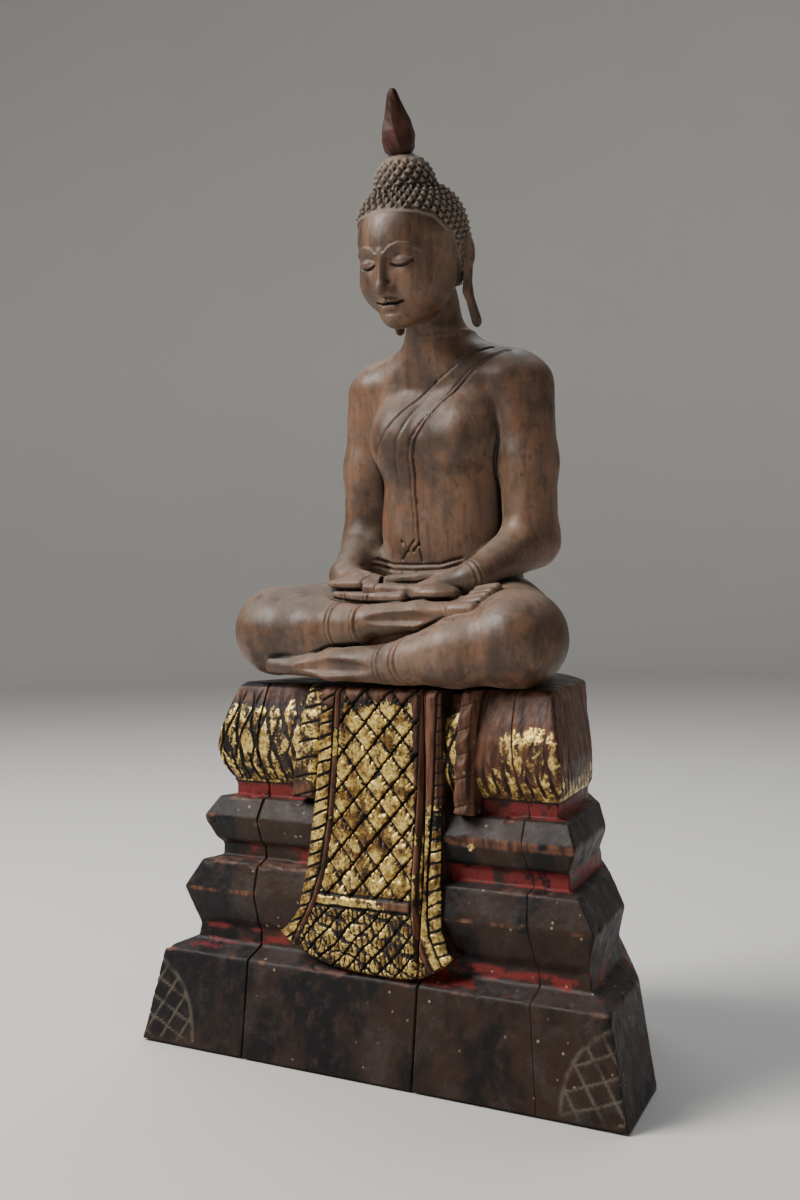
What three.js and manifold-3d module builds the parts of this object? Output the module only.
// A seated devotional figure carved from one block of wood, with a separate bud-shaped finial, on a
// stepped pedestal of four upright blocks whose edge joints have opened.
// Millimetres, +Z up. The table is z = 0, the front is -Y, and left and right are the figure's own
// (its left is +X).
import * as THREE from 'three';
import { mergeVertices } from 'three/addons/utils/BufferGeometryUtils.js';
import Module from 'manifold-3d';

const wasm = await Module();
wasm.setup();

// ---- driving dimensions -------------------------------------------------------------------------
const FIT_GAP = 0.3;

// Pedestal outline: height, half width and half depth at each arris, from the table upwards.
const PEDESTAL_LEVELS = [
  [0.0, 122.3, 71.3], [40.9, 112.5, 65.4], [45.0, 103.2, 57.0], [46.2, 100.0, 56.0],
  [52.0, 99.0, 55.5], [56.0, 99.5, 57.5], [68.7, 104.1, 60.6], [81.3, 95.7, 57.2],
  [83.0, 88.4, 51.0], [88.4, 88.4, 51.0], [90.9, 89.5, 54.0], [98.5, 93.8, 56.6],
  [101.0, 94.2, 57.0], [109.2, 88.8, 52.0], [110.1, 82.0, 47.7], [115.1, 82.0, 47.7],
  [117.0, 83.2, 48.6], [124.0, 86.6, 53.4], [131.3, 87.9, 55.4], [140.0, 86.6, 54.4],
  [147.7, 84.0, 52.0], [160.0, 80.0, 46.0],
];
const PEDESTAL_TOP = 160.0;
const SIDE_INSET = 16;
const SIDE_LENGTH = 56;
const BACK_WIDTH_RATIO = 0.42;

// Seams between the blocks: where each one meets the table, how far it leans, how wide it is open.
const SEAMS = [
  { name: 'right', foot: -63.5, lean: 0, gap: 1.0 },
  { name: 'middle', foot: 25.3, lean: 0, gap: 1.0 },
  { name: 'left', foot: 83.0, lean: -0.125, gap: 0.4 },
];
const BLOCK_NAMES = ['pedestal_right_end', 'pedestal_right_centre', 'pedestal_left_centre',
  'pedestal_left_end'];

// Hanging carved over the front, and the two narrow flaps behind it.
const HANGING_SIDES = {
  right: [[-26.5, 160], [-31, 112], [-34.2, 83], [-36.8, 69], [-42, 61]],
  left: [[39, 60.5], [35.3, 68], [33.5, 83], [33.5, 160]],
};
const HANGING_FOOT = { rightCorner: [-46.2, 55.5], leftCorner: [43.8, 53.3], lowest: [10, 42.8], steps: 5 };
const HANGING_FRONT = [[160, -56.5], [157, -58], [131, -58], [115, -58.5], [95, -60.2], [83, -61.2],
  [67.5, -63.6], [56, -65.6], [42, -67]];
const FLAPS = [
  [[-37, 160], [-44.5, 112], [-32, 112], [-25, 160]],
  [[41.5, 160], [39, 110], [47.5, 110], [49.5, 160]],
];
const FLAP_FRONT = [[160, -51], [157, -53], [147, -55.5], [131, -57.5], [110, -57]];
const RELIEF_BACK_Y = -35;

// Seam pegs and locating dowels.
const PEG = { radius: 3, length: 24, y: -38, heights: [24, 138] };
const DOWEL = { radius: 3, x: 34, y: 8, bottom: 144, top: 172 };
const SOCKET_PLAY = 0.3;

// Figure.
const FIGURE_FOOT = PEDESTAL_TOP + FIT_GAP;
// Torso sections: height, half width, half depth, centre in Y.
const TORSO = [
  [158, 44, 27, 9], [172, 45, 28, 9], [186, 39, 25.5, 9], [198, 32, 20.5, 7], [210, 27.5, 17.8, 5.5],
  [222, 26, 17, 4.5], [238, 27.5, 17.8, 4], [252, 30, 19, 3], [264, 32.5, 19.6, 2.5], [276, 35, 18, 4],
  [287, 35, 15, 5], [296, 28, 13, 4], [303, 17, 12, 2.5], [308, 12.5, 11.5, 1],
];
const BELLY = { centre: [0, -18, 175], radii: [44, 31, 17] };
// Limbs: start point and radius, end point and radius; mirrored pairs are listed once.
const PAIRED_LIMBS = [
  [[8, 3, 298.5], 13, [30, 5, 290], 13],
  [[37.5, 6, 285.2], 14.2, [42.5, 3, 222], 11.8],
  [[24, 8, 184], 22, [61, -38.5, 181.8], 20.8],
];
const SINGLE_LIMBS = [
  [[42.5, 3, 220], 12, [33, -27, 205], 7.2],
  [[33, -27, 204.5], 7, [16, -38, 200.5], 6],
  [[16, -38, 200.5], 5.6, [-12, -41, 199.5], 4.2],
  [[-42.5, 3, 220], 12, [-33.5, -27, 207.5], 7.2],
  [[-33.5, -27, 207], 7, [-16, -38, 206], 5.6],
  [[-16, -38, 206], 5, [22, -41, 204.5], 3.6],
  [[-63, -41, 180.5], 18.5, [-12, -47, 185.5], 9.6],
  [[-10, -48, 186], 8.8, [22, -42, 190], 7],
  [[22, -42, 190], 7, [46, -34, 193.5], 4.6],
  [[61, -42, 178.5], 18, [14, -57, 170.5], 9.4],
  [[14, -57, 170], 8.6, [-20, -56, 168.5], 6.8],
  [[-20, -56, 168.5], 6.8, [-54, -51, 167.5], 4.8],
];
// Cuffs: point on the limb, direction along it, radius.
const CUFFS = [
  [[31, -28, 204.5], [-0.3, -1, -0.5], 7.9],
  [[-10, -47.4, 185.8], [1, -0.12, 0.1], 10.2],
  [[12, -57.2, 170.2], [-1, -0.3, -0.1], 9.9],
];
const CUFF_WIDTH = 6;
// Band of cloth over the left shoulder and down to the navel, seen from the front.
const SASH = [[34, 298], [24, 303], [10, 287], [-6, 263], [-6, 212], [-9, 206], [-1, 209.5], [7, 206],
  [4, 212], [4, 261], [14, 276]];
const SASH_PROUD = 0.9;

// Head, in its own frame: origin at its centre, front -Y, leaning forward by HEAD_TILT.
const HEAD_CENTRE = [0, -21, 342];
const HEAD_TILT = THREE.MathUtils.degToRad(12);
const CROWN_Y = 3.1;
const USHNISHA = [[15, 22], [14.6, 27], [13.6, 31.5], [11.4, 36], [8.4, 40], [5.6, 43.3]];
// Side view of everything the hair leaves bare, in Y and Z of the head's frame.
const BELOW_HAIRLINE = [[-40, 20.5], [-40, -60], [8, -60], [8, -8], [2, 4], [-8, 15], [-18, 20]];
const FINIAL_FOOT = 43.3 + FIT_GAP;
const FINIAL = [[4.9, 0], [6.1, 2.6], [7, 7.2], [6.5, 11.5], [4.9, 17], [2.9, 22.5], [1.3, 26.2], [0, 27.7]];
const TENON = { radius: 2.4, length: 12 };

const ROUND = 12;

// ---- helpers ------------------------------------------------------------------------------------
function toSolid(geometry) {
  geometry.deleteAttribute('normal');
  geometry.deleteAttribute('uv');
  const merged = mergeVertices(geometry, 1e-4);
  const index = merged.index.array;
  const triVerts = [];
  for (let i = 0; i < index.length; i += 3) {
    const [a, b, c] = [index[i], index[i + 1], index[i + 2]];
    if (a !== b && b !== c && c !== a) triVerts.push(a, b, c);
  }
  const vertProperties = new Float32Array(merged.attributes.position.array);
  const mesh = new wasm.Mesh({ numProp: 3, vertProperties, triVerts: new Uint32Array(triVerts) });
  return new wasm.Manifold(mesh);
}

function toGeometry(solid) {
  const mesh = solid.getMesh();
  const geometry = new THREE.BufferGeometry();
  geometry.setAttribute('position', new THREE.BufferAttribute(new Float32Array(mesh.vertProperties), 3));
  geometry.setIndex(new THREE.BufferAttribute(new Uint32Array(mesh.triVerts), 1));
  geometry.computeVertexNormals();
  return geometry;
}

function union(solids) {
  return solids.reduce((whole, solid) => whole.add(solid));
}

// Closed body through rings of points, listed anticlockwise seen from above, from the bottom up.
function loft(rings) {
  const count = rings[0].length;
  const index = [];
  for (let level = 0; level < rings.length - 1; level += 1) {
    for (let i = 0; i < count; i += 1) {
      const a = level * count + i;
      const b = level * count + ((i + 1) % count);
      index.push(a, b, b + count, a, b + count, a + count);
    }
  }
  const top = (rings.length - 1) * count;
  for (let i = 1; i < count - 1; i += 1) {
    index.push(0, i + 1, i);
    index.push(top, top + i, top + i + 1);
  }
  const geometry = new THREE.BufferGeometry();
  geometry.setAttribute('position', new THREE.Float32BufferAttribute(rings.flat(2), 3));
  geometry.setIndex(index);
  return toSolid(geometry);
}

function ellipseRing(z, halfWidth, halfDepth, centreY) {
  return Array.from({ length: ROUND * 2 }, (_, i) => {
    const angle = (i * Math.PI) / ROUND;
    return [halfWidth * Math.cos(angle), centreY + halfDepth * Math.sin(angle), z];
  });
}

function ellipsoid([x, y, z], [rx, ry, rz]) {
  const geometry = new THREE.SphereGeometry(1, ROUND, ROUND * 0.6);
  geometry.rotateX(Math.PI / 2);
  geometry.scale(rx, ry, rz);
  geometry.translate(x, y, z);
  return toSolid(geometry);
}

// Turned body about the line from one point towards another; the profile is [radius, distance].
function turned(profile, from, towards) {
  const geometry = new THREE.LatheGeometry(profile.map(([r, h]) => new THREE.Vector2(r, h)), ROUND);
  const start = new THREE.Vector3(...from);
  const direction = new THREE.Vector3(...towards).sub(start).normalize();
  geometry.applyQuaternion(new THREE.Quaternion().setFromUnitVectors(new THREE.Vector3(0, 1, 0), direction));
  geometry.translate(...from);
  return toSolid(geometry);
}

// Two balls and the cone that touches both.
function limb(start, startRadius, end, endRadius) {
  const length = new THREE.Vector3(...start).distanceTo(new THREE.Vector3(...end));
  const tangent = Math.asin((startRadius - endRadius) / length);
  const steps = 4;
  const profile = [];
  for (let i = 0; i <= steps; i += 1) {
    const angle = -Math.PI / 2 + (i / steps) * (tangent + Math.PI / 2);
    profile.push([i === 0 ? 0 : startRadius * Math.cos(angle), startRadius * Math.sin(angle)]);
  }
  for (let i = 0; i <= steps; i += 1) {
    const angle = tangent + (i / steps) * (Math.PI / 2 - tangent);
    profile.push([i === steps ? 0 : endRadius * Math.cos(angle), length + endRadius * Math.sin(angle)]);
  }
  return turned(profile, start, end);
}

// Cylinder of a given length, centred on a point, along a direction.
function rod(centre, direction, radius, length) {
  const along = new THREE.Vector3(...direction).normalize();
  const start = new THREE.Vector3(...centre).addScaledVector(along, -length / 2);
  const profile = [[0, 0], [radius, 0], [radius, length], [0, length]];
  return turned(profile, start.toArray(), start.clone().add(along).toArray());
}

// Outline in X and Z, carried from one Y to another.
function slabAlongY(outline, frontY, backY) {
  const shape = new THREE.Shape(outline.map(([x, z]) => new THREE.Vector2(x, z)));
  const geometry = new THREE.ExtrudeGeometry(shape, { depth: backY - frontY, bevelEnabled: false });
  geometry.rotateX(Math.PI / 2);
  geometry.translate(0, backY, 0);
  return toSolid(geometry);
}

// Outline in Y and Z, carried from one X to another.
function slabAlongX(outline, leftX, rightX) {
  const shape = new THREE.Shape(outline.map(([y, z]) => new THREE.Vector2(y, z)));
  const geometry = new THREE.ExtrudeGeometry(shape, { depth: rightX - leftX, bevelEnabled: false });
  const basis = new THREE.Matrix4().makeBasis(
    new THREE.Vector3(0, 1, 0), new THREE.Vector3(0, 0, 1), new THREE.Vector3(1, 0, 0));
  geometry.applyMatrix4(basis);
  geometry.translate(leftX, 0, 0);
  return toSolid(geometry);
}

function mirrored(points) {
  return points.map((value) => (Array.isArray(value) ? [-value[0], value[1], value[2]] : value));
}

// ---- pedestal -----------------------------------------------------------------------------------
function pedestalRing([z, w, d]) {
  const sideX = w - SIDE_INSET;
  const sideY = SIDE_LENGTH - d;
  const backX = w * BACK_WIDTH_RATIO;
  return [[-w, -d, z], [w, -d, z], [sideX, sideY, z], [backX, d, z], [-backX, d, z], [-sideX, sideY, z]];
}

// One half of the hanging's curved foot, from its lowest point out to a corner.
function footCurve([cornerX, cornerZ]) {
  const [lowX, lowZ] = HANGING_FOOT.lowest;
  return Array.from({ length: HANGING_FOOT.steps }, (_, i) => {
    const t = (i + 1) / HANGING_FOOT.steps;
    return [lowX + (cornerX - lowX) * t, lowZ + (cornerZ - lowZ) * t ** 3];
  });
}

// Outline in X and Z, given a front face that is a profile in Y and Z.
function reliefSolid(outline, frontProfile) {
  const front = frontProfile.map(([z, y]) => [y, z]);
  const [footZ] = frontProfile.at(-1);
  const side = [...front, [RELIEF_BACK_Y, footZ], [RELIEF_BACK_Y, PEDESTAL_TOP]];
  return slabAlongY(outline, -90, RELIEF_BACK_Y).intersect(slabAlongX(side, -90, 90));
}

function hangingSolid() {
  const { rightCorner, leftCorner, lowest } = HANGING_FOOT;
  const outline = [...HANGING_SIDES.right, ...footCurve(rightCorner).reverse(), lowest,
    ...footCurve(leftCorner), ...HANGING_SIDES.left];
  return reliefSolid(outline, HANGING_FRONT);
}

function seamX(seam, z) {
  return seam.foot + seam.lean * z;
}

// Upright slab of material between two seams; a missing seam means the pedestal's own end.
function betweenSeams(rightSeam, leftSeam) {
  const [low, high] = [-10, 180];
  const right = (z) => (rightSeam ? seamX(rightSeam, z) + rightSeam.gap / 2 : -200);
  const left = (z) => (leftSeam ? seamX(leftSeam, z) - leftSeam.gap / 2 : 200);
  return slabAlongY([[right(low), low], [left(low), low], [left(high), high], [right(high), high]], -100, 100);
}

function dowelCentres() {
  return [-DOWEL.x, DOWEL.x];
}

function pedestalBlocks() {
  const body = union([loft(PEDESTAL_LEVELS.map(pedestalRing)), hangingSolid(), 
    ...FLAPS.map((outline) => reliefSolid(outline, FLAP_FRONT))]);
  const pegHoles = SEAMS.flatMap((seam) => PEG.heights.map((z) =>
    rod([seamX(seam, z), PEG.y, z], [1, 0, 0], PEG.radius + SOCKET_PLAY, PEG.length + 2 * SOCKET_PLAY)));
  const dowelHoles = dowelCentres().map((x) =>
    rod([x, DOWEL.y, PEDESTAL_TOP], [0, 0, 1], DOWEL.radius + SOCKET_PLAY,
      2 * (PEDESTAL_TOP - DOWEL.bottom + SOCKET_PLAY)));
  const carved = body.subtract(union([...pegHoles, ...dowelHoles]));
  return BLOCK_NAMES.map((name, i) => [name, carved.intersect(betweenSeams(SEAMS[i - 1], SEAMS[i]))]);
}

// ---- figure -------------------------------------------------------------------------------------
function torsoSolid(grow) {
  return loft(TORSO.map(([z, w, d, y]) => ellipseRing(z, w + grow, d + grow, y)));
}

function limbSolids() {
  const pairs = PAIRED_LIMBS.flatMap((points) => [limb(...points), limb(...mirrored(points))]);
  return [...pairs, ...SINGLE_LIMBS.map((points) => limb(...points))];
}

function sashSolid() {
  return torsoSolid(SASH_PROUD).intersect(slabAlongY(SASH, -60, 3));
}

function faceSolids() {
  const bothSides = [-1, 1].flatMap((side) => [
    ellipsoid([side * 8.2, -20.4, -0.8], [4.6, 2.7, 2.2]),
    limb([side * 4, -23, 4.4], 1.1, [side * 12.5, -19.6, 5], 0.8),
    limb([side * 21.6, 13, 2.5], 3.4, [side * 20.6, 12.6, -12], 2.4),
    limb([side * 20.6, 12.6, -12], 2.4, [side * 19.4, 11.6, -31.5], 2.7),
  ]);
  return [...bothSides,
    limb([0, -22.6, 2.5], 1.6, [0, -25.4, -10.6], 2.6),
    ellipsoid([0, -21.2, -17.2], [5.2, 2.1, 1.1]),
    ellipsoid([0, -20.8, -19.6], [4.4, 2.2, 1.4]),
    ellipsoid([0, -16.4, -24.2], [6.4, 5.4, 5]),
  ];
}

function hairSolid() {
  const cap = ellipsoid([0, 1.6, 5], [22.8, 26, 26]);
  const belowHairline = slabAlongX(BELOW_HAIRLINE, -40, 40);
  const bun = turned([[0, USHNISHA[0][1]], ...USHNISHA, [0, USHNISHA.at(-1)[1]]], [0, CROWN_Y, 0], [0, CROWN_Y, 1]);
  return cap.subtract(belowHairline).add(bun);
}

function headSolid() {
  const skull = ellipsoid([0, 0.5, 4], [21, 24, 25]);
  const jaw = ellipsoid([0, -5, -12], [15.5, 16.5, 17]);
  const tenonHole = rod([0, CROWN_Y, FINIAL_FOOT], [0, 0, 1], TENON.radius + SOCKET_PLAY,
    2 * (TENON.length + SOCKET_PLAY));
  const head = union([skull, jaw, ...faceSolids(), hairSolid()]).subtract(tenonHole);
  return head.rotate([THREE.MathUtils.radToDeg(HEAD_TILT), 0, 0]).translate(HEAD_CENTRE);
}

function figureSolid() {
  const neck = limb([0, 2, 298], 13, [0, -7, 325], 12.4);
  const cuffs = CUFFS.map(([point, direction, radius]) => rod(point, direction, radius, CUFF_WIDTH));
  const body = union([torsoSolid(0), ellipsoid(BELLY.centre, BELLY.radii), ...limbSolids(), ...cuffs,
    sashSolid(), neck, headSolid()]);
  const dowelHoles = dowelCentres().map((x) =>
    rod([x, DOWEL.y, FIGURE_FOOT], [0, 0, 1], DOWEL.radius + SOCKET_PLAY,
      2 * (DOWEL.top - FIGURE_FOOT + SOCKET_PLAY)));
  return body.trimByPlane([0, 0, 1], FIGURE_FOOT).subtract(union(dowelHoles));
}

// ---- materials and assembly ---------------------------------------------------------------------
function material(color, roughness) {
  return new THREE.MeshStandardMaterial({ color, roughness, metalness: 0 });
}

const lacquer = () => material(0x2b1d19, 0.5);
const figureWood = () => material(0x6b4a38, 0.55);
const finialWood = () => material(0x4a2820, 0.5);
const bamboo = () => material(0xa98d5e, 0.6);

function mesh(name, geometry, itsMaterial) {
  const node = new THREE.Mesh(geometry, itsMaterial);
  node.name = name;
  return node;
}

const statue = new THREE.Group();
statue.name = 'statue';

for (const [name, solid] of pedestalBlocks()) {
  statue.add(mesh(name, toGeometry(solid), lacquer()));
}

for (const seam of SEAMS) {
  PEG.heights.forEach((z, level) => {
    const peg = mesh(`seam_peg_${seam.name}_${level === 0 ? 'low' : 'high'}`,
      new THREE.CylinderGeometry(PEG.radius, PEG.radius, PEG.length, ROUND), bamboo());
    peg.rotation.z = Math.PI / 2;
    peg.position.set(seamX(seam, z), PEG.y, z);
    statue.add(peg);
  });
}

for (const x of dowelCentres()) {
  const dowel = mesh(`locating_dowel_${x < 0 ? 'right' : 'left'}`,
    new THREE.CylinderGeometry(DOWEL.radius, DOWEL.radius, DOWEL.top - DOWEL.bottom, ROUND), bamboo());
  dowel.rotation.x = Math.PI / 2;
  dowel.position.set(x, DOWEL.y, (DOWEL.bottom + DOWEL.top) / 2);
  statue.add(dowel);
}

statue.add(mesh('figure', toGeometry(figureSolid()), figureWood()));

const head = new THREE.Group();
head.name = 'head_frame';
head.position.set(...HEAD_CENTRE);
head.rotation.x = HEAD_TILT;
const finialProfile = [[0, -TENON.length], [TENON.radius, -TENON.length], [TENON.radius, 0], ...FINIAL];
const finial = mesh('finial',
  new THREE.LatheGeometry(finialProfile.map(([r, h]) => new THREE.Vector2(r, h)), ROUND), finialWood());
finial.position.set(0, CROWN_Y, FINIAL_FOOT);
finial.rotation.x = Math.PI / 2;
head.add(finial);
statue.add(head);

export default statue;
